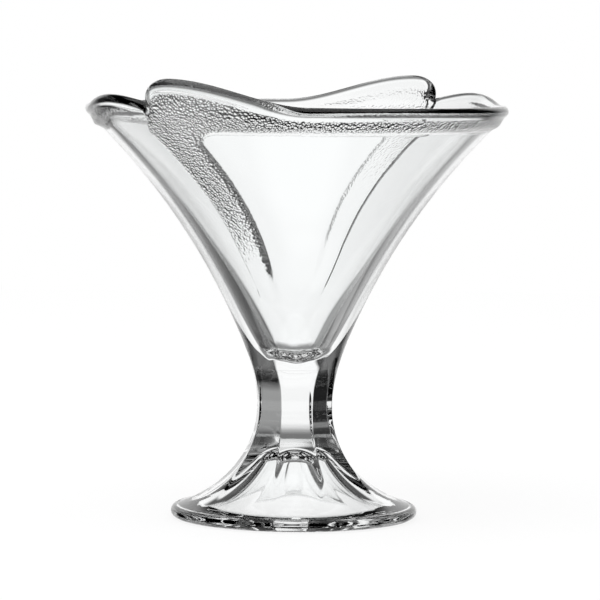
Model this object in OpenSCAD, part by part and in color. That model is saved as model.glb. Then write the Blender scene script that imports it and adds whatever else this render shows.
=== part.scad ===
// Footed dessert glass in pressed clear glass: a flared bowl of two petals that wrap round each
// other, a waisted stem with flat facets, and a round foot with a domed hollow under it.
// The three pieces are joined hot, face to face on level planes. Sizes are in millimetres.
// The origin is at the middle of the standing plane, +Z is up and the front of the glass faces -Y.

/* [Bowl] */
// Height of the low stretch of the rim above the table
rim_h = 118.2; // [108:0.1:130]
// Diameter over the low stretch of the rim
rim_d = 120.6; // [108:0.2:134]
// Thickness of the wall at the rim, which is rounded over
wall = 3.3; // [2.4:0.1:4.4]
// Slope of the outside where the bowl leaves the stem, in degrees from upright
bowl_slope = 23; // [19:0.5:26]
// Height of the hollow's floor above the waist of the stem
floor_rise = 14; // [12:0.1:18]
// Diameter of the round end of the hollow
floor_d = 18; // [14:0.2:21]
// Slope of the hollow's wall where it leaves the round end, in degrees from upright
hollow_slope = 27.5; // [24:0.5:31]

/* [Petals] */
// Rise of a petal's crest above the low rim
crest_rise = 7.1; // [5:0.1:10]
// Length along the rim of the crest's corner, which climbs from the other petal's tail
crest_width = 9.2; // [7:0.1:12]
// Share of that corner taken by the hollow curve at its foot
crest_hollow = 0.26; // [0.1:0.02:0.5]
// Angle over which the crest falls away to the low rim
crest_fall = 37; // [30:1:50]
// Outward lean of the crest, as run over rise
crest_lean = 0.5; // [0.2:0.05:0.8]
// Rise of a petal's tail above the low rim
tail_rise = 3; // [1:0.1:4]
// Angle from a petal's free edge to the top of its tail
tail_angle = 164; // [156:1:168]
// Angle over which the tail rises and falls
tail_spread = 25; // [20:1:32]
// Step from a petal's free edge down to the tail of the other petal
petal_step = 1.6; // [1:0.1:2]
// Angle over which a petal winds inwards behind its free edge
petal_wind = 90; // [60:1:120]
// Bearing of the front petal's free edge at the rim, in degrees from the front
edge_at_rim = -49.4; // [-56:0.1:-44]
// Bearing of the front petal's free edge at the stem, in degrees from the front
edge_at_stem = -27.2; // [-34:0.1:-22]
// Bow of the free edge at half its height, in degrees
edge_bow = 2.6; // [0:0.1:5]
// Turn of the free edge towards the front just under the rim, in degrees
edge_hook = 3; // [0:0.1:5]
// Width of the stippled border beside the free edge, in degrees
border_angle = 13; // [11:0.5:17]
// Height of the stippled border under the low rim
border_h = 6.3; // [5:0.1:9]
// Stand-off of the border from the clear panel
border_stand = 1.25; // [0.6:0.05:1.5]
// Height over which that stand-off tapers away under the lip
border_taper = 2.9; // [2:0.1:4]
// Narrowing of the border where it climbs over the tail
tail_bare = 5.3; // [3:0.1:6]
// Radius of the panel's corner inside the border
panel_corner = 4.8; // [2:0.1:7]
// Angle between the two arms of the border at that corner
panel_angle = 62; // [50:1:90]
// Width of the rounded step between border and panel
panel_edge = 1.3; // [1:0.1:3]

/* [Stem] */
// Height of the waist, the narrowest place of the stem
waist_h = 31.8; // [29:0.1:35]
// Diameter at the waist of the round body that the upper facets are cut from
waist_d = 22.7; // [22:0.1:26]
// Width across two opposite facets at the waist
waist_flats = 20.96; // [19.6:0.02:21.4]
// Number of facets
facets = 8; // [6, 8, 12]
// Radius of the sweep from the waist up to the bowl
calyx_r = 50; // [44:0.5:60]
// Length of a facet above the waist
facet_up = 15.7; // [14:0.1:18]

/* [Foot] */
// Height above the table where the facets run out on the foot
facet_foot = 4.5; // [4.2:0.1:12]
// Diameter at the waist of the round body that the foot's facets are cut from
foot_body_d = 24; // [23:0.1:27]
// Diameter of the foot over its rounded edge
foot_d = 70.6; // [64:0.2:80]
// Thickness of the foot at its edge
foot_edge = 3.4; // [2.6:0.1:4.4]
// Width of the flat ring that the glass stands on
foot_ring = 5.3; // [4:0.1:8]
// Height of the hollow under the foot
hollow_h = 18.2; // [16:0.1:21]
// Diameter of the hollow's round dome
dome_d = 21; // [14:0.2:24]
// Slope of the hollow's side where it leaves the dome, in degrees from upright
dome_slope = 39; // [34:0.5:44]
// Glass left over the dome, up to the joint with the stem
roof = 3.8; // [2.4:0.1:5]
// Glass left under the bowl's floor, down to the joint with the stem
base = 2.8; // [2:0.1:5]

/* [Hidden] */

glass = [0.86, 0.91, 0.92, 0.45];
$fn = 96;

// Round body of stem and foot: two sweeps that leave the waist upright
waist_r = waist_d / 2;
foot_body_r = foot_body_d / 2;
edge_r = foot_edge / 2;
edge_at = foot_d / 2 - edge_r;
foot_sweep = ((edge_at - foot_body_r) ^ 2 + (waist_h - edge_r) ^ 2 - edge_r ^ 2)
    / (2 * (edge_at - foot_body_r + edge_r));
joint_foot = hollow_h + roof;
joint_bowl = waist_h + floor_rise - base;
stem_top = waist_h + calyx_r * sin(bowl_slope);
stem_top_r = waist_r + calyx_r * (1 - cos(bowl_slope));

// Facets leave the waist upright too, and run out where they reach the round body
flat_r = waist_flats / 2;
facet_pitch = 360 / facets;
facet_up_sweep = upright_sweep(flat_r, sweep_out(waist_r, calyx_r, facet_up), facet_up);
facet_down = waist_h - facet_foot;
facet_down_sweep = upright_sweep(flat_r, sweep_out(foot_body_r, foot_sweep, facet_down), facet_down);

// Hollow of the foot: an arc from the dome down to the standing ring
ring_r = edge_at - foot_ring;
dome_r = dome_d / 2;
dome_end_r = dome_r * cos(dome_slope);
dome_drop = dome_r * (1 - sin(dome_slope));
hollow_sweep = end_sweep(dome_end_r, dome_drop, dome_slope, ring_r, hollow_h);

// Turns of the foot's outline, from level: where the edge passes into the sweep, and at the joint
sweep_axis_r = foot_body_r + foot_sweep;
edge_turn = atan2(waist_h - edge_r, sweep_axis_r - edge_at);
joint_turn = asin((waist_h - joint_foot) / foot_sweep);
facet_overrun = 0.3;
outline_steps = 16;

// Outside of the bowl, an arc from the top of the stem to the rim
lip_r = wall / 2;
rim_guess = 2 * atan2(rim_d / 2 - stem_top_r, rim_h - stem_top) - bowl_slope;
rim_r = rim_d / 2 - lip_r * (1 - cos(rim_guess));
rim_z = rim_h - lip_r * (1 + sin(rim_guess));
rim_slope = end_slope(stem_top_r, stem_top, bowl_slope, rim_r, rim_z);
bowl_sweep = end_sweep(stem_top_r, stem_top, bowl_slope, rim_r, rim_z);

// Inside of the bowl, an arc from the round floor to the rim
floor_z = waist_h + floor_rise;
floor_r = floor_d / 2;
ball_z = floor_z + floor_r;
well_r = floor_r * cos(hollow_slope);
well_z = ball_z - floor_r * sin(hollow_slope);
mouth_r = rim_r - wall * cos(rim_slope);
mouth_z = rim_z + wall * sin(rim_slope);
mouth_slope = end_slope(well_r, well_z, hollow_slope, mouth_r, mouth_z);
hollow_wall_sweep = end_sweep(well_r, well_z, hollow_slope, mouth_r, mouth_z);

// Relief of the petals: heights where it sets in, its share at the free edge, and the step's angle
relief_from = stem_top + 8;
relief_full = stem_top + 28;
step_lead = 0.94;
step_angle = 1.7;
hook_h = 5;
lip_clear = 0.9;

// Rise of the rim at a petal's free edge, and the angle that the crest's corner takes up
notch_rise = tail_rise * hump(tail_angle, tail_spread, 180);
corner_rise = crest_rise - notch_rise;
corner_angle = crest_width / (rim_d / 2) * 180 / PI;

// Mesh of the bowl: columns follow the petals, rows run from the joint over the rim to the floor
petal_columns = 58;
columns = 2 * petal_columns;
line_angle = max(border_angle, corner_angle + 2.4);
column_stops = [[0, 0], [14, corner_angle], [16, line_angle - 1.4], [20, line_angle + 1.4],
    [25, line_angle + 11], [38, tail_angle - 26], [52, 180 - step_angle], [petal_columns, 180]];
stem_rows = 5;
panel_rows = 13;
border_rows = 4;
edge_rows = 5;
outside_rows = stem_rows + panel_rows + border_rows + edge_rows;
lip_rows = 4;
wall_rows = 9;
floor_rows = 4;
rows = outside_rows + lip_rows + wall_rows + floor_rows;

// Even steps from one value to another
function steps(from, to) = [for (i = [0 : outline_steps]) from + (to - from) * i / outline_steps];

// Sideways reach of a sweep that leaves a radius upright, at a distance along the axis
function sweep_out(radius, sweep, along) = radius + sweep - sqrt(sweep ^ 2 - along ^ 2);

// Radius of the upright sweep that goes from one radius to another over a length
function upright_sweep(radius, reach, along) =
    ((reach - radius) ^ 2 + along ^ 2) / (2 * (reach - radius));

// Slope and radius of the arc that leaves a point at a slope and ends at another point
function end_slope(r0, z0, slope, r1, z1) = 2 * atan2(r1 - r0, z1 - z0) - slope;
function end_sweep(r0, z0, slope, r1, z1) =
    norm([r1 - r0, z1 - z0]) / (2 * sin(atan2(r1 - r0, z1 - z0) - slope));

// Radius at a height on such an arc
function arc_at(r0, z0, slope, sweep, z) =
    r0 + sweep * (cos(slope) - sqrt(1 - (sin(slope) + (z - z0) / sweep) ^ 2));

// Smooth change from 0 to 1 between two values
function ease(low, high, x) =
    let (s = min(1, max(0, (x - low) / (high - low)))) s * s * (3 - 2 * s);

// Rounded hump of height 1 about a middle, over a spread to each side
function hump(middle, spread, x) =
    abs(x - middle) < spread ? (1 + cos(180 * (x - middle) / spread)) / 2 : 0;

// Radius of the round body, and of its facets, at a height
function body_r(z) = z < waist_h ? sweep_out(foot_body_r, foot_sweep, z - waist_h)
    : sweep_out(waist_r, calyx_r, z - waist_h);
function facet_r(z) = sweep_out(flat_r, z < waist_h ? facet_down_sweep : facet_up_sweep, z - waist_h);

// Radius of the foot's hollow between dome and ring, at a height
function hollow_r(z) = arc_at(dome_end_r, dome_drop, dome_slope, hollow_sweep, hollow_h - z);

// Bearing of the front petal's free edge at a height: bowed, with a hook under the rim
function free_edge(z) =
    let (s = min(1, max(0, (z - stem_top) / (rim_z - stem_top))))
    edge_at_stem + (edge_at_rim - edge_at_stem) * s + edge_bow * (4 * s * (1 - s)) ^ 2
        + edge_hook * ease(rim_z - hook_h, rim_z, z);

// Share of the corner's rise, a quarter round hollow and a quarter round crest, at a share of its length
function corner(u) = u < crest_hollow ? crest_hollow - sqrt(crest_hollow ^ 2 - u ^ 2)
    : crest_hollow + (1 - crest_hollow) * sqrt(1 - ((1 - u) / (1 - crest_hollow)) ^ 2);

// Height of the rim above its low stretch, at an angle along a petal from its free edge
function rim_rise(t) = t < corner_angle ? notch_rise + corner_rise * corner(t / corner_angle)
    : crest_rise * hump(corner_angle, crest_fall, t) + tail_rise * hump(tail_angle, tail_spread, t);

// Lower limit of the stippled border along the rim, which climbs over the tail
function border_z(t) = rim_h - border_h + tail_bare * ease(tail_angle - tail_spread, tail_angle + 12, t);

// Share of the clear panel at a place: 0 on the border, 1 inside the panel's rounded outline
function panel(t, z) =
    let (across = (t - border_angle) * PI / 180 * plain_r(min(z, rim_z)) * sin(panel_angle))
    let (down = (border_z(t) - z) / cos(rim_slope))
    let (a = across - panel_corner, d = down - panel_corner)
    let (at_corner = a + d * cos(panel_angle) < 0 && d + a * cos(panel_angle) < 0)
    let (reach = sqrt(a ^ 2 + d ^ 2 + 2 * a * d * cos(panel_angle)) / sin(panel_angle))
    let (inside = at_corner ? panel_corner - reach : min(across, down))
    ease(-panel_edge / 2, panel_edge / 2, inside);

// Stand-off of the outside from its plain arc: the wind of the petals, and the border on each
function relief(t, z) =
    let (wind = petal_step * (step_lead - ease(0, petal_wind, t)))
    let (step = ease(180 - step_angle, 180, t))
    let (taper = min(1, max(0, (rim_z + rim_rise(t) - lip_clear - z) / border_taper)))
    let (border = border_stand * taper * (1 - panel(t, z)) * (1 - step))
    ease(relief_from, relief_full, z) * (wind + petal_step * step + border);

// Outside radius of the bowl at a height, at a bearing and at the angle along a petal
function plain_r(z) = z < rim_z ? arc_at(stem_top_r, stem_top, bowl_slope, bowl_sweep, z)
    : rim_r + crest_lean * (z - rim_z);
function stem_r(z, bearing) =
    let (off = (bearing + 720 + facet_pitch / 2) % facet_pitch - facet_pitch / 2)
    z - waist_h < facet_up ? min(body_r(z), facet_r(z) / cos(off)) : body_r(z);
function outside_r(z, bearing, t) = z < stem_top ? stem_r(z, bearing) : plain_r(z) + relief(t, z);

// Inside radius of the bowl's wall at a height
function inside_r(z) = z < mouth_z ? arc_at(well_r, well_z, hollow_slope, hollow_wall_sweep, z)
    : mouth_r + crest_lean * (z - mouth_z);

// Angle along a petal of a column: even on the stem, drawn to the petal's lines as the bowl opens
function column_angle(j, open) =
    let (k = j % petal_columns, even = 180 * k / petal_columns)
    even + (lookup(k, column_stops) - even) * open;
function column_bearing(j, z, t) = free_edge(z) + t + 180 * floor(j / petal_columns);

// A point on a bearing from the front
function at(r, bearing, z) = [r * sin(bearing), -r * cos(bearing), z];

// Height of a row on the outside of a column: rows close up at the border's lower line
function row_height(i, top, line) =
    let (low = min(line - panel_edge, top - 5))
    lookup(i, [[0, joint_bowl], [stem_rows, stem_top], [stem_rows + panel_rows, low],
        [stem_rows + panel_rows + border_rows, low + 2 * panel_edge], [outside_rows, top]]);

// Points of one column: up the outside, over the lip, down the wall and round the floor
function outside_point(j, i) =
    let (rim_t = column_angle(j, 1))
    let (z = row_height(i, rim_z + rim_rise(rim_t), border_z(rim_t)))
    let (t = column_angle(j, ease(stem_top, rim_z, z)))
    let (bearing = column_bearing(j, z, t))
    at(outside_r(z, bearing, t), bearing, z);
function wall_height(j, w) =
    let (top = mouth_z + rim_rise(column_angle(j, 1))) top + (well_z - top) * w;
function inside_point(j, r, z) = at(r, column_bearing(j, rim_z, column_angle(j, 1)), z);
function lip_point(j, a) =
    let (outer = outside_point(j, outside_rows))
    let (inner = inside_point(j, inside_r(wall_height(j, 0)), wall_height(j, 0)))
    let (middle = (outer + inner) / 2, half = (outer - inner) / 2)
    let (out = [outer.x, outer.y] / norm([outer.x, outer.y]))
    let (across = [half.x, half.y] * out)
    middle + half * cos(a) + [-half.z * out.x, -half.z * out.y, across] * sin(a);
function column_point(i, j) =
    i < outside_rows ? outside_point(j, i)
    : i <= outside_rows + lip_rows ? lip_point(j, 180 * (i - outside_rows) / lip_rows)
    : i <= outside_rows + lip_rows + wall_rows
    ? let (z = wall_height(j, (i - outside_rows - lip_rows) / wall_rows)) inside_point(j, inside_r(z), z)
    : let (a = hollow_slope + (90 - hollow_slope) * (i - rows + floor_rows) / floor_rows)
      inside_point(j, floor_r * cos(a), ball_z - floor_r * sin(a));

module bowl() {
    points = [for (i = [0 : rows - 1]) for (j = [0 : columns - 1]) column_point(i, j)];
    ends = [[0, 0, joint_bowl], [0, 0, floor_z]];
    under = rows * columns;
    skin = [for (i = [0 : rows - 2]) for (j = [0 : columns - 1])
        let (k = (j + 1) % columns, a = i * columns, b = a + columns)
        each [[a + j, b + j, b + k], [a + j, b + k, a + k]]];
    joint_face = [for (j = [0 : columns - 1]) [under, j, (j + 1) % columns]];
    floor_face = [for (j = [0 : columns - 1])
        [under + 1, under - columns + (j + 1) % columns, under - columns + j]];
    color(glass) polyhedron(concat(points, ends), concat(skin, joint_face, floor_face), convexity = 6);
}

// Solid between opposite facets, from one side's outline of width and height
module between_facets(side) {
    last = len(side) - 1;
    other_side = [for (i = [last : -1 : 0]) [-side[i].x, side[i].y]];
    intersection_for (k = [0 : facets / 2 - 1])
        rotate([90, 0, k * facet_pitch])
            linear_extrude(2 * foot_d, center = true)
                polygon(concat(side, other_side));
}

module stem() {
    low = [for (z = steps(joint_foot, waist_h)) [body_r(z), z]];
    high = [for (z = steps(waist_h, joint_bowl)) if (z > waist_h) [body_r(z), z]];
    flat_side = [for (z = steps(joint_foot - 1, joint_bowl + 1)) [facet_r(z), z]];
    color(glass) intersection() {
        rotate_extrude() polygon(concat([[0, joint_foot]], low, high, [[0, joint_bowl]]));
        between_facets(flat_side);
    }
}

module foot() {
    edge = [for (a = steps(-90, edge_turn)) [edge_at + edge_r * cos(a), edge_r * (1 + sin(a))]];
    top = [for (a = steps(edge_turn, joint_turn)) if (a < edge_turn)
        [sweep_axis_r - foot_sweep * cos(a), waist_h - foot_sweep * sin(a)]];
    flat_low = facet_foot - facet_overrun;
    flat_side = [for (z = steps(flat_low, joint_foot + 1)) [facet_r(z), z]];
    hollow_side = [for (z = steps(0, hollow_h - dome_drop)) [hollow_r(z), z]];
    dome = [for (a = steps(dome_slope, 90)) if (a > dome_slope)
        [dome_r * cos(a), hollow_h - dome_r * (1 - sin(a))]];
    color(glass) difference() {
        intersection() {
            rotate_extrude() polygon(concat([[0, 0]], edge, top, [[0, joint_foot]]));
            between_facets(concat([[foot_d, -1], [foot_d, flat_low]], flat_side));
        }
        rotate_extrude() polygon(concat([[0, -1], [ring_r, -1]], hollow_side, dome));
    }
}

bowl();
stem();
foot();
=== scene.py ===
import math

import bpy
import numpy as np
from mathutils import Matrix, Vector


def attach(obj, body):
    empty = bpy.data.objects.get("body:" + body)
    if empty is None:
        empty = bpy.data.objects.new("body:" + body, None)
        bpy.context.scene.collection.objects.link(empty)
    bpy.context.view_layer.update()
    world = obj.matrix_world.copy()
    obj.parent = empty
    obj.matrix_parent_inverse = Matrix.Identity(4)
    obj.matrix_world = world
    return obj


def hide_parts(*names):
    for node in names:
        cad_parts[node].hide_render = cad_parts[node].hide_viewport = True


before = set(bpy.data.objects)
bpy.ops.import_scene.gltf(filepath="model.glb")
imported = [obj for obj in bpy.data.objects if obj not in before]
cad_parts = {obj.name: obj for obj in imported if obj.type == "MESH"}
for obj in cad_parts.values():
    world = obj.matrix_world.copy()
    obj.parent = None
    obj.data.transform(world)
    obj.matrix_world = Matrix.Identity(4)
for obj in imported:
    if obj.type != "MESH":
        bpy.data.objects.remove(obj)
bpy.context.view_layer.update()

print("parfait glass: frame loaded")

mm = 0.001
degree = math.radians(1)

# sizes that the pieces share, in mm, and a slope in degrees: where they join and how the outside sweeps
body = {
    "waistHeight": 31.8, "waistRadius": 11.35, "footBodyRadius": 12.0, "waistFlat": 10.48,
    "facetCount": 8, "facetUp": 15.7, "facetDown": 27.3, "pastFacetUp": 4.0, "pastFacetDown": 0.3,
    "calyxSweep": 50.0, "bowlSlope": 23.0,
    "footEdgeAt": 33.6, "footEdgeRadius": 1.7,
    "jointFoot": 22.0, "jointBowl": 43.0, "seamRow": 0.03,
    "edgePolish": 0.2,
}


def sweepOut(radius, sweep, along):  # reach of an arc that leaves a radius upright
    return radius + sweep - np.sqrt(sweep ** 2 - along ** 2)


def uprightSweep(radius, reach, along):  # radius of such an arc through one more point
    return ((reach - radius) ** 2 + along ** 2) / (2 * (reach - radius))


def ease(low, high, x):  # smooth 0 to 1 between two values
    s = np.clip((x - low) / (high - low), 0, 1)
    return s * s * (3 - 2 * s)


def hump(middle, spread, x):  # rounded hump of height 1
    return np.where(np.abs(x - middle) < spread, (1 + np.cos(np.pi * (x - middle) / spread)) / 2, 0)


def softMin(a, b, blend):  # smaller of two surfaces, their crease polished over a width
    h = np.clip(0.5 + 0.5 * (b - a) / blend, 0, 1)
    return b * (1 - h) + a * h - blend * h * (1 - h)


def tangentArc(r0, z0, slope, r1, z1):  # arc that leaves one point at a slope and ends at another
    turn = math.atan2(r1 - r0, z1 - z0)
    sweep = math.hypot(r1 - r0, z1 - z0) / (2 * math.sin(turn - slope))

    def radiusAt(z):
        lean = np.sin(slope) + (z - z0) / sweep
        return r0 + sweep * (np.cos(slope) - np.sqrt(1 - lean ** 2))

    return radiusAt, 2 * turn - slope


edgeReach = body["footEdgeAt"] - body["footBodyRadius"]
edgeDrop = body["waistHeight"] - body["footEdgeRadius"]
edgeSpan = edgeReach ** 2 + edgeDrop ** 2 - body["footEdgeRadius"] ** 2
footSweep = edgeSpan / (2 * (edgeReach + body["footEdgeRadius"]))
facetUpReach = sweepOut(body["waistRadius"], body["calyxSweep"], body["facetUp"])
facetUpSweep = uprightSweep(body["waistFlat"], facetUpReach, body["facetUp"])
facetDownReach = sweepOut(body["footBodyRadius"], footSweep, body["facetDown"])
facetDownSweep = uprightSweep(body["waistFlat"], facetDownReach, body["facetDown"])
slope0 = math.radians(body["bowlSlope"])
stemTop = body["waistHeight"] + body["calyxSweep"] * math.sin(slope0)
stemTopRadius = body["waistRadius"] + body["calyxSweep"] * (1 - math.cos(slope0))


def facetTurn(bearing):  # bearing from the middle of the nearest facet
    pitch = 2 * np.pi / body["facetCount"]
    return (bearing + pitch / 2) % pitch - pitch / 2


# outside of stem and calyx: round body, cut by flats that sweep out faster and so run out on it
def stemRadius(z, bearing):
    along = z - body["waistHeight"]
    low = -body["facetDown"] - body["pastFacetDown"]
    high = body["facetUp"] + body["pastFacetUp"]
    start = np.where(along < 0, body["footBodyRadius"], body["waistRadius"])
    turned = sweepOut(start, np.where(along < 0, footSweep, body["calyxSweep"]), along)
    flatSweep = np.where(along < 0, facetDownSweep, facetUpSweep)
    flat = sweepOut(body["waistFlat"], flatSweep, np.clip(along, low, high))
    cut = softMin(turned, flat / np.cos(facetTurn(bearing)), body["edgePolish"])
    return np.where((along > low) & (along < high), cut, turned)


def onBearing(r, bearing, z):  # points from radius, bearing (0 is the front, -Y) and height
    return np.stack([r * np.sin(bearing), -r * np.cos(bearing), z], axis=-1)


# closed piece from a grid of rows by columns: side skin, and a fan on a middle point at each end
def closedPiece(name, grid, ends, materials, endSlots, marks=None):
    rows, columns = grid.shape[:2]
    points = np.concatenate([grid.reshape(-1, 3), np.asarray(ends, float)]) * mm
    i, j = np.meshgrid(np.arange(rows - 1), np.arange(columns), indexing="ij")
    k = (j + 1) % columns
    corners = [i * columns + j, i * columns + k, (i + 1) * columns + k, (i + 1) * columns + j]
    quads = np.stack(corners, -1).reshape(-1, 4)
    ring = np.arange(columns)
    turn = (ring + 1) % columns
    firstFan = np.stack([np.full(columns, rows * columns), turn, ring], -1)
    last = (rows - 1) * columns
    lastFan = np.stack([np.full(columns, rows * columns + 1), last + ring, last + turn], -1)
    mesh = bpy.data.meshes.new(name)
    loops = np.concatenate([quads.ravel(), firstFan.ravel(), lastFan.ravel()]).astype(np.int32)
    counts = np.concatenate([np.full(len(quads), 4), np.full(2 * columns, 3)])
    starts = np.concatenate([[0], np.cumsum(counts)[:-1]])
    mesh.vertices.add(len(points))
    mesh.vertices.foreach_set("co", points.astype(np.float32).ravel())
    mesh.loops.add(len(loops))
    mesh.loops.foreach_set("vertex_index", loops)
    mesh.polygons.add(len(counts))
    mesh.polygons.foreach_set("loop_start", starts.astype(np.int32))
    slots = np.repeat([0, *endSlots], [len(quads), columns, columns])
    mesh.polygons.foreach_set("material_index", slots.astype(np.int32))
    mesh.polygons.foreach_set("use_smooth", slots == 0)
    mesh.update(calc_edges=True)
    for title, values in (marks or {}).items():
        layer = mesh.attributes.new(title, "FLOAT", "POINT")
        layer.data.foreach_set("value", np.concatenate([values.ravel(), np.zeros(2)]).astype(np.float32))
    mesh.validate()
    for material in materials:
        mesh.materials.append(material)
    piece = bpy.data.objects.new(name, mesh)
    bpy.context.scene.collection.objects.link(piece)
    return piece


def linear(hexColour):  # sRGB hex to linear
    c = np.array([int(hexColour[i:i + 2], 16) / 255 for i in (1, 3, 5)])
    return (*np.where(c <= 0.04045, c / 12.92, ((c + 0.055) / 1.055) ** 2.4).tolist(), 1.0)


def addNode(tree, kind, settings=None, links=None):  # node with its settings and what feeds its sockets
    node = tree.nodes.new(kind)
    for title, value in (settings or {}).items():
        if isinstance(title, str) and hasattr(node, title):
            setattr(node, title, value)
        else:
            node.inputs[title].default_value = value
    for socket, source in (links or {}).items():
        tree.links.new(source, node.inputs[socket])
    return node


def newMaterial(name):
    material = bpy.data.materials.new(name)
    material.use_nodes = True
    material.node_tree.nodes.clear()
    return material, material.node_tree


# sizes in mm; the grain is drawn coarser than the mould's own, so that it shows
glassLook = {
    "tint": "#FEFFFF", "ior": 1.52, "rippleSize": 9.0, "rippleDepth": 0.012,
    "grainSize": 0.72, "grainDepth": 0.9, "grainFromInside": 0.28,
}


# soda-lime glass, pressed in an iron mould and fire-polished: clear, with a faint ripple off the mould
def pressedGlass(name, stippled):
    material, tree = newMaterial(name)
    place = addNode(tree, "ShaderNodeTexCoord").outputs["Object"]
    ripple = addNode(tree, "ShaderNodeTexNoise", {
        "Scale": 1 / (glassLook["rippleSize"] * mm), "Detail": 1.0}, {"Vector": place})
    skin = addNode(tree, "ShaderNodeBump", {
        "Strength": 1.0, "Distance": glassLook["rippleDepth"] * mm}, {"Height": ripple.outputs["Fac"]})
    normal = skin.outputs["Normal"]
    if stippled:  # mould chased with a random grain of small round pits, fainter seen through the wall
        mark = addNode(tree, "ShaderNodeAttribute", {"attribute_name": "stipple"}).outputs["Fac"]
        cell = addNode(tree, "ShaderNodeTexVoronoi", {
            "Scale": 1 / (glassLook["grainSize"] * mm)}, {"Vector": place})
        pit = addNode(tree, "ShaderNodeMath", {"operation": "POWER", 1: 2.0}, {0: cell.outputs["Distance"]})
        height = addNode(tree, "ShaderNodeMath", {"operation": "MULTIPLY"}, {0: pit.outputs[0], 1: mark})
        side = addNode(tree, "ShaderNodeNewGeometry").outputs["Backfacing"]
        strength = addNode(tree, "ShaderNodeMapRange", {
            "To Min": 1.0, "To Max": glassLook["grainFromInside"]}, {"Value": side})
        normal = addNode(tree, "ShaderNodeBump", {"Distance": glassLook["grainDepth"] * mm}, {
            "Height": height.outputs[0], "Normal": normal, "Strength": strength.outputs[0]}).outputs["Normal"]
    shader = addNode(tree, "ShaderNodeBsdfPrincipled", {
        "Base Color": linear(glassLook["tint"]), "Roughness": 0.0, "IOR": glassLook["ior"],
        "Transmission Weight": 1.0}, {"Normal": normal})
    addNode(tree, "ShaderNodeOutputMaterial", links={"Surface": shader.outputs[0]})
    return material


# hot joint: the glass is one mass there, so nothing shows
def hotJoint():
    material, tree = newMaterial("hot-joined glass seam")
    clear = addNode(tree, "ShaderNodeBsdfTransparent")
    addNode(tree, "ShaderNodeOutputMaterial", links={"Surface": clear.outputs[0]})
    return material


seam = hotJoint()
bowlGlass = pressedGlass("pressed soda-lime glass, stippled borders", True)
plainGlass = pressedGlass("pressed soda-lime glass", False)
print("parfait glass: materials made")

# sizes in mm; angles in degrees, those along a petal from its free edge (0) to its tail's end (180)
bowl = {
    "rimHeight": 118.2, "rimRadius": 60.3, "wall": 3.3,
    "floorHeight": 45.8, "floorRadius": 9.0, "hollowSlope": 27.5,
    "crestRise": 7.1, "crestWidth": 9.2, "crestHollow": 0.26, "crestFall": 37.0, "crestLean": 0.5,
    "tailRise": 3.0, "tailAngle": 164.0, "tailSpread": 25.0, "tailBare": 5.3, "tailBareOver": (146, 169),
    "petalStep": 1.6, "petalStart": 0.94, "petalWind": 90.0, "stepWidth": 1.7, "petalOver": (8, 28),
    "edgeAtRim": -49.4, "edgeAtStem": -27.2, "edgeBulge": 2.6, "edgeTurn": 3.0, "edgeTurnHeight": 5.0,
    "borderAngle": 13.0, "borderHeight": 6.3, "borderStand": 1.25, "borderFrom": 0.9, "borderTaper": 2.9,
    "tailStand": 0.9, "tailStandOver": (130, 150),
    "panelCorner": 4.8, "panelAngle": 62.0, "panelEdge": 2.4,
    "lipAtNotch": 0.6, "notchAngle": 4.0,
    "grainTop": (0.3, 0.7), "grainFrom": 0.6, "grainEnd": (178, 173), "grainOver": (14, 58),
    "columns": 218, "columnSteps": 4001, "columnSpread": 3.0, "moreAtEdge": 7.0, "moreAtBorder": 2.2,
    "rows": (118, 16, 58, 16), "rowCrowding": 0.9, "seamShare": 0.0006,
}
lip = bowl["wall"] / 2
rimGuess = 2 * math.atan2(bowl["rimRadius"] - stemTopRadius, bowl["rimHeight"] - stemTop) - slope0
rimRadius = bowl["rimRadius"] - lip * (1 - math.cos(rimGuess))
rimZ = bowl["rimHeight"] - lip * (1 + math.sin(rimGuess))
outsideArc, rimSlope = tangentArc(stemTopRadius, stemTop, slope0, rimRadius, rimZ)
hollowSlope = math.radians(bowl["hollowSlope"])
ballZ = bowl["floorHeight"] + bowl["floorRadius"]
wellRadius = bowl["floorRadius"] * math.cos(hollowSlope)
wellZ = ballZ - bowl["floorRadius"] * math.sin(hollowSlope)
mouthRadius = rimRadius - bowl["wall"] * math.cos(rimSlope)
mouthZ = rimZ + bowl["wall"] * math.sin(rimSlope)
insideArc = tangentArc(wellRadius, wellZ, hollowSlope, mouthRadius, mouthZ)[0]


# bearing of the front petal's free edge, in degrees: slightly bowed in height, turned back under the rim
def freeEdge(z):
    s = np.clip((z - stemTop) / (rimZ - stemTop), 0, 1)
    turn = bowl["edgeTurn"] * ease(rimZ - bowl["edgeTurnHeight"], rimZ, z)
    bulge = bowl["edgeBulge"] * (4 * s * (1 - s)) ** 2
    return bowl["edgeAtStem"] + (bowl["edgeAtRim"] - bowl["edgeAtStem"]) * s + bulge + turn


def tailWave(t):  # hump of the rim over a petal's tail
    return bowl["tailRise"] * hump(bowl["tailAngle"], bowl["tailSpread"], t)


# wave of the rim along a petal: a corner of two quarter rounds up to the crest, a long fall, a low
# stretch, a tail
def rimRise(t):
    corner = bowl["crestWidth"] / bowl["rimRadius"] / degree
    u = np.clip(t / corner, 0, 1)
    q = bowl["crestHollow"]
    low = q - np.sqrt(np.maximum(q ** 2 - u ** 2, 0))
    high = q + (1 - q) * np.sqrt(np.maximum(1 - ((1 - u) / (1 - q)) ** 2, 0))
    climb = tailWave(180) + (bowl["crestRise"] - tailWave(180)) * np.where(u < q, low, high)
    return np.where(t < corner, climb, bowl["crestRise"] * hump(corner, bowl["crestFall"], t) + tailWave(t))


def borderFoot(t):  # lower limit of the border along the rim: it climbs into the lip at the tail
    return bowl["rimHeight"] - bowl["borderHeight"] + bowl["tailBare"] * ease(*bowl["tailBareOver"], t)


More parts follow.
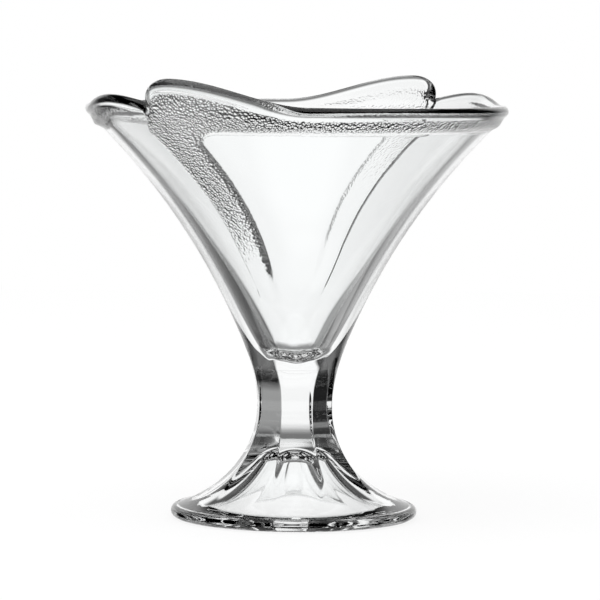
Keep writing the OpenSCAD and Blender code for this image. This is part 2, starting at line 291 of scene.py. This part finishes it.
# stand-off of the outside: each petal winds inwards to its tail, which ends under the other's free edge,
# and its border stands proud of the panel, more so at the tail, tapering away towards the lip
def petalRelief(t, z):
    low, high = bowl["petalOver"]
    grow = ease(stemTop + low, stemTop + high, z)
    wind = bowl["petalStep"] * (bowl["petalStart"] - ease(0, bowl["petalWind"], t))
    under = bowl["petalStep"] * ease(180 - bowl["stepWidth"], 180, t)
    taper = np.clip((rimZ + rimRise(t) - bowl["borderFrom"] - z) / bowl["borderTaper"], 0, 1)
    fade = ease(0, bowl["stepWidth"], 180 - t)
    stand = bowl["borderStand"] + bowl["tailStand"] * ease(*bowl["tailStandOver"], t)
    return grow * (wind + under + stand * taper * (1 - panelShare(t, z)) * fade)


# 1 on the clear panel inside the border: distance to its two sides, joined by a round corner
def panelShare(t, z):
    turn = math.radians(bowl["panelAngle"])
    r = bowl["panelCorner"]
    across = (t - bowl["borderAngle"]) * degree * outsideArc(np.clip(z, stemTop, rimZ)) * math.sin(turn)
    down = (borderFoot(t) - z) / math.cos(rimSlope)
    a = across - r
    d = down - r
    atCorner = (a + d * math.cos(turn) < 0) & (d + a * math.cos(turn) < 0)
    reach = np.sqrt(a ** 2 + d ** 2 + 2 * a * d * math.cos(turn)) / math.sin(turn)
    inside = np.where(atCorner, r - reach, np.minimum(across, down))
    return ease(-bowl["panelEdge"] / 2, bowl["panelEdge"] / 2, inside)


# columns along a petal, closer together at its free edge and at the border's line
def petalColumns():
    fine = np.linspace(0, 180, bowl["columnSteps"])
    density = 1 + 0 * fine
    atEdge = bowl["moreAtEdge"]
    for middle, more in ((0, atEdge), (180, atEdge), (bowl["borderAngle"], bowl["moreAtBorder"])):
        density += more * np.exp(-((fine - middle) / bowl["columnSpread"]) ** 2)
    share = np.concatenate([[0], np.cumsum((density[1:] + density[:-1]) / 2)])
    return np.interp(np.arange(bowl["columns"]) / bowl["columns"], share / share[-1], fine)


# rows from the joint up the outside, round the lip, down the wall and round the floor
def bowlGrid():
    t = np.tile(petalColumns(), 2)
    half = np.repeat([0.0, 180.0], bowl["columns"])
    outRows, lipRows, wallRows, floorRows = bowl["rows"]
    rise = rimRise(t)
    v = np.linspace(0, 1, outRows) ** bowl["rowCrowding"]
    v[1] = bowl["seamShare"]  # a thin row at the seam keeps the shading even across it
    z = body["jointBowl"] + (rimZ + rise - body["jointBowl"]) * v[:, None]
    bearing = np.radians(freeEdge(z) + t + half)
    flare = np.where(z < rimZ, outsideArc(np.minimum(z, rimZ)), rimRadius + bowl["crestLean"] * (z - rimZ))
    calyx = stemRadius(np.minimum(z, stemTop), bearing)
    r = np.where(z < stemTop, calyx, flare) + petalRelief(t[None, :] + 0 * z, z)
    outside = onBearing(r, bearing, z)
    rimBearing = np.radians(freeEdge(rimZ) + t + half)
    top = mouthZ + rise
    w = np.linspace(0, 1, wallRows)[:, None]
    wallZ = top + (wellZ - top) * w
    wallArc = insideArc(np.minimum(wallZ, mouthZ))
    wallR = np.where(wallZ < mouthZ, wallArc, mouthRadius + bowl["crestLean"] * (wallZ - mouthZ))
    inside = onBearing(wallR, rimBearing + 0 * wallZ, wallZ)
    a = np.linspace(hollowSlope, np.pi / 2, floorRows + 2)[1:-1, None] + 0 * rimBearing
    floorZ = ballZ - bowl["floorRadius"] * np.sin(a)
    floor = onBearing(bowl["floorRadius"] * np.cos(a), rimBearing + 0 * a, floorZ)
    lipGrid = roundLip(outside[-1], inside[0], t, lipRows)
    return np.concatenate([outside[:-1], lipGrid, inside[1:], floor]), t, z


# lip: half round across the wall's edge, square to the way the rim runs, lower in the notch at the free edge
def roundLip(outer, inner, t, rows):
    middle = (outer + inner) / 2
    across = (outer - inner) / 2
    run = np.roll(middle, -2, 0) - np.roll(middle, 2, 0)
    up = np.cross(across, run)
    atNotch = np.maximum(ease(bowl["notchAngle"], 0, t), ease(180 - bowl["notchAngle"], 180, t))
    notch = 1 - (1 - bowl["lipAtNotch"]) * atNotch
    up *= (notch * np.linalg.norm(across, axis=1) / np.linalg.norm(up, axis=1))[:, None]
    a = np.linspace(0, np.pi, rows)[:, None, None]
    return middle + across * np.cos(a) + up * np.sin(a)


# 1 where the mould is stippled: between the lip and the panel, fading out towards the stem
def stippleMark(t, z, rise):
    above, below = bowl["grainTop"]
    low, high = bowl["grainOver"]
    under = ease(rimZ + rise - bowl["borderFrom"] + above, rimZ + rise - bowl["borderFrom"] - below, z)
    tail = ease(*bowl["grainEnd"], t) * ease(0.0, bowl["grainFrom"], t)
    return under * tail * (1 - panelShare(t, z)) * ease(stemTop + low, stemTop + high, z)


def makeBowl():
    grid, t, z = bowlGrid()
    mark = np.zeros(grid.shape[:2])
    mark[:len(z) - 1] = stippleMark(t[None, :] + 0 * z, z, rimRise(t))[:-1]
    ends = [(0, 0, body["jointBowl"]), (0, 0, bowl["floorHeight"])]
    return closedPiece("bowl_glass", grid, ends, [bowlGlass, seam], (1, 0), {"stipple": mark})


def seamRows(low, high, count):  # even rows with a thin one at each end
    rows = np.linspace(low, high, count)
    rows[1] = low + body["seamRow"]
    rows[-2] = high - body["seamRow"]
    return rows


stem = {"columns": 360, "rows": 70}


# stem: the faceted body between its two joints
def makeStem():
    bearing = np.linspace(0, 2 * np.pi, stem["columns"], endpoint=False)
    z = seamRows(body["jointFoot"], body["jointBowl"], stem["rows"])[:, None] + 0 * bearing
    grid = onBearing(stemRadius(z, bearing), bearing + 0 * z, z)
    ends = [(0, 0, body["jointFoot"]), (0, 0, body["jointBowl"])]
    return closedPiece("stem_glass", grid, ends, [plainGlass, seam], (1, 1))


# sizes in mm, the dome's slope in degrees, the thin row's turn at the seam in radians
foot = {
    "ringRadius": 28.3, "ringRound": 0.8, "hollowHeight": 18.2, "domeRadius": 10.5, "domeSlope": 39.0,
    "columns": 360, "rows": (80, 26, 12, 80, 30), "seamTurn": 0.001,
}


# foot: sweep from the joint to the rounded edge, flat ring, then the hollow's sweep up to its round dome
def makeFoot():
    bearing = np.linspace(0, 2 * np.pi, foot["columns"], endpoint=False)
    topRows, edgeRows, ringRows, hollowRows, roofRows = foot["rows"]
    axisRadius = body["footBodyRadius"] + footSweep
    edgeTurn = math.atan2(edgeDrop, axisRadius - body["footEdgeAt"])
    jointTurn = math.asin((body["waistHeight"] - body["jointFoot"]) / footSweep)
    a = seamRows(jointTurn, edgeTurn, topRows)[:, None]
    a[1] = jointTurn + foot["seamTurn"]
    z = body["waistHeight"] - footSweep * np.sin(a) + 0 * bearing
    top = onBearing(stemRadius(z, bearing), bearing + 0 * z, z)
    a = np.linspace(edgeTurn, -np.pi / 2, edgeRows)[1:, None]
    edgeR = body["footEdgeAt"] + body["footEdgeRadius"] * np.cos(a) + 0 * bearing
    edge = onBearing(edgeR, bearing + 0 * edgeR, body["footEdgeRadius"] * (1 + np.sin(a)) + 0 * bearing)
    inner = foot["ringRadius"]
    high = foot["hollowHeight"]
    dome = foot["domeRadius"]
    ringR = np.linspace(body["footEdgeAt"], inner + foot["ringRound"], ringRows + 1)[1:, None] + 0 * bearing
    ring = onBearing(ringR, bearing + 0 * ringR, 0 * ringR)
    domeSlope = math.radians(foot["domeSlope"])
    domeDrop = dome * (1 - math.sin(domeSlope))
    hollowArc = tangentArc(dome * math.cos(domeSlope), domeDrop, domeSlope, inner, high)[0]
    h = np.linspace(foot["ringRound"], high - domeDrop, hollowRows)[:, None] + 0 * bearing
    hollow = onBearing(hollowArc(high - h), bearing + 0 * h, h)
    a = np.linspace(domeSlope, np.pi / 2, roofRows + 2)[1:-1, None] + 0 * bearing
    roof = onBearing(dome * np.cos(a), bearing + 0 * a, high - dome + dome * np.sin(a))
    grid = np.concatenate([top, edge, ring, hollow, roof])[::-1]
    ends = [(0, 0, high), (0, 0, body["jointFoot"])]
    return closedPiece("foot_glass", grid, ends, [plainGlass, seam], (0, 1))


for piece, node in ((makeBowl(), "bowl"), (makeStem(), "stem"), (makeFoot(), "foot")):
    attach(piece, "root")
    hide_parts(node)
    print("parfait glass:", piece.name, len(piece.data.polygons), "faces")

# lengths in m, the floor's drop in mm, the screen's bearing in degrees
studio = {
    "floor": 0.9, "floorCorners": 96, "floorDrop": 0.2, "floorColour": "#F4F4F4", "floorShade": 0.15,
    "lampSize": 0.7, "lampPlace": (-0.25, -0.3, 1.1), "lampPower": 4.0,
    "screenAt": 4.0,
}

# how bright the room is to the glass, in pairs of degrees and light: around is the bearing from the middle
# of the screen behind the glass, + to the right, and up is the height over the horizon
studioLight = {
    "screenAround": ((-180, 0.04), (-100, 0.04), (-60, 0.12), (-38, 0.12), (-36, 0), (-21, 0), (-16.5, 1),
                     (16, 1), (21, 0), (180, 0)),
    "screenUp": ((-90, 0.1), (-76, 0.7), (-52, 0.7), (-46, 0.2), (-40, 0.2), (-30, 0.2), (-26, 0.35),
                 (-22, 0.7), (-18, 1), (24, 1), (31, 0.06), (45, 0.02), (90, 0.02)),
    "fillAround": ((-180, 0), (16, 0), (21, 0.4), (30, 0.3), (33, 0.12), (36, 0.5), (50, 0.5), (56, 0),
                   (180, 0)),
    "fillUp": ((-90, 0.1), (-20, 1), (3, 1), (10, 0.02), (90, 0)),
    "tentAround": ((-180, 0.95), (-52, 0.95), (-45, 0), (43, 0), (50, 0.95), (180, 0.95)),
    "tentUp": ((-90, 0.04), (-60, 0.06), (-45, 0.1), (-33, 0.25), (-28, 1), (2, 1), (6, 0.02), (90, 0.02)),
    "groundUp": ((-90, 0.9), (-79, 0.9), (-72, 0.04), (-44, 0.02), (-27, 0.04), (-24, 0.2), (-20.5, 0.22),
                 (-18.8, 0.02), (10, 0.008), (17, 0.01), (21, 0.1), (35, 0.1), (45, 0.02), (52, 0.02),
                 (60, 0.9), (90, 0.9)),
    "glossUp": ((-90, 1), (-29, 1), (-23, 0.04), (0, 0.01), (46, 0.01), (54, 1), (90, 1)),
    "glossAround": ((-180, 0), (-45, 0), (-32, 1), (32, 1), (45, 0), (180, 0)),
}


# white floor that keeps the glass's faint shadow; glass and gloss see the room below it instead
def makeFloor():
    turn = np.linspace(0, 2 * np.pi, studio["floorCorners"], endpoint=False)
    ring = np.stack([np.cos(turn), np.sin(turn), 0 * turn], -1) * studio["floor"]
    ring = ring - (0, 0, studio["floorDrop"] * mm)
    mesh = bpy.data.meshes.new("floor")
    mesh.from_pydata(ring.tolist(), [], [list(range(len(ring)))])
    floor = bpy.data.objects.new("floor", mesh)
    floor.visible_glossy = False
    floor.visible_transmission = False
    bpy.context.scene.collection.objects.link(floor)
    material, tree = newMaterial("white studio floor")
    matt = addNode(tree, "ShaderNodeBsdfDiffuse", {"Color": linear(studio["floorColour"])})
    white = addNode(tree, "ShaderNodeEmission", {"Color": (1, 1, 1, 1), "Strength": 1.0})
    path = addNode(tree, "ShaderNodeLightPath").outputs
    seen = addNode(tree, "ShaderNodeMath", {
        "operation": "MULTIPLY", 1: 1 - studio["floorShade"]}, {0: path["Is Camera Ray"]})
    mix = addNode(tree, "ShaderNodeMixShader", links={
        0: seen.outputs[0], 1: matt.outputs[0], 2: white.outputs[0]})
    addNode(tree, "ShaderNodeOutputMaterial", links={"Surface": mix.outputs[0]})
    mesh.materials.append(material)


# room: white to the camera; the glass sees a white screen behind it with dark gaps at its sides, a dimmer
# fill to the right, a white tent round the rest at table height, and a white table and ceiling; its gloss
# sees the screen, white far below and above, and a dark room between
def makeWorld():
    world = bpy.data.worlds.new("studio")
    bpy.context.scene.world = world
    world.use_nodes = True
    tree = world.node_tree
    tree.nodes.clear()
    place = addNode(tree, "ShaderNodeTexCoord").outputs["Generated"]
    way = addNode(tree, "ShaderNodeSeparateXYZ", links={0: place}).outputs
    bearing = addNode(tree, "ShaderNodeMath", {"operation": "ARCTAN2"}, {0: way["X"], 1: way["Y"]})
    off = addNode(tree, "ShaderNodeMath", {
        "operation": "SUBTRACT", 1: math.radians(studio["screenAt"])}, {0: bearing.outputs[0]})
    around = addNode(tree, "ShaderNodeMapRange", {
        "From Min": -math.pi, "From Max": math.pi}, {"Value": off.outputs[0]})
    up = addNode(tree, "ShaderNodeMapRange", {"From Min": -1.0, "From Max": 1.0}, {"Value": way["Z"]})
    light = {}
    for title, stops in studioLight.items():
        isBearing = title.endswith("Around")
        ramp = addNode(tree, "ShaderNodeValToRGB", links={0: (around if isBearing else up).outputs[0]})
        marks = ramp.color_ramp.elements
        marks.remove(marks[1])
        for k, (angle, level) in enumerate(stops):
            spot = angle / 360 + 0.5 if isBearing else math.sin(angle * degree) / 2 + 0.5
            stop = marks.new(spot) if k else marks[0]
            stop.position = spot
            stop.color = (level, level, level, 1)
        light[title] = ramp.outputs[0]
    lit = light["groundUp"]
    for title in ("screen", "fill", "tent"):
        lamp = addNode(tree, "ShaderNodeMath", {"operation": "MULTIPLY"}, {
            0: light[title + "Around"], 1: light[title + "Up"]})
        brighter = addNode(tree, "ShaderNodeMath", {"operation": "MAXIMUM"}, {0: lamp.outputs[0], 1: lit})
        lit = brighter.outputs[0]
    through = addNode(tree, "ShaderNodeBackground", {"Strength": 1.0}, {"Color": lit})
    behind = addNode(tree, "ShaderNodeMath", {"operation": "MULTIPLY"}, {
        0: light["glossAround"], 1: light["screenUp"]})
    shine = addNode(tree, "ShaderNodeMath", {"operation": "MAXIMUM"}, {
        0: behind.outputs[0], 1: light["glossUp"]})
    gloss = addNode(tree, "ShaderNodeBackground", {"Strength": 1.0}, {"Color": shine.outputs[0]})
    plain = addNode(tree, "ShaderNodeBackground", {"Color": (1, 1, 1, 1), "Strength": 1.0})
    path = addNode(tree, "ShaderNodeLightPath").outputs
    mix = addNode(tree, "ShaderNodeMixShader", links={
        0: path["Is Glossy Ray"], 1: plain.outputs[0], 2: gloss.outputs[0]})
    mix = addNode(tree, "ShaderNodeMixShader", links={
        0: path["Is Transmission Ray"], 1: mix.outputs[0], 2: through.outputs[0]})
    addNode(tree, "ShaderNodeOutputWorld", links={"Surface": mix.outputs[0]})


# one large soft lamp overhead, for the shadow on the floor
def makeLamp():
    data = bpy.data.lights.new("soft box", "AREA")
    data.size = studio["lampSize"]
    data.energy = studio["lampPower"]
    lamp = bpy.data.objects.new("soft box", data)
    lamp.location = studio["lampPlace"]
    lamp.rotation_euler = Vector(studio["lampPlace"]).to_track_quat("Z", "Y").to_euler()
    lamp.visible_glossy = False
    lamp.visible_transmission = False
    bpy.context.scene.collection.objects.link(lamp)


makeFloor()
makeWorld()
makeLamp()

# lengths in m, angles in degrees, lens and film in mm
shot = {
    "distance": 1.04, "height": 0.141, "azimuth": -4.0, "aim": 0.0622, "aside": 0.0013, "roll": 0.5,
    "lens": 218.8, "film": 36.0, "nearest": 0.01,
}


def makeCamera():
    data = bpy.data.cameras.new("camera")
    data.lens = shot["lens"]
    data.sensor_width = shot["film"]
    data.clip_start = shot["nearest"]
    camera = bpy.data.objects.new("camera", data)
    bpy.context.scene.collection.objects.link(camera)
    a = math.radians(shot["azimuth"])
    right = Vector((math.cos(a), math.sin(a), 0))
    place = Vector((math.sin(a), -math.cos(a), 0)) * shot["distance"] + Vector((0, 0, shot["height"]))
    look = Vector((0, 0, shot["aim"])) + right * shot["aside"] - place
    turn = look.to_track_quat("-Z", "Y").to_matrix().to_4x4()
    roll = Matrix.Rotation(math.radians(shot["roll"]), 4, "Z")
    camera.matrix_world = Matrix.Translation(place) @ turn @ roll
    bpy.context.scene.camera = camera


makeCamera()
bpy.context.scene.view_settings.view_transform = "Standard"
print("parfait glass: studio set")
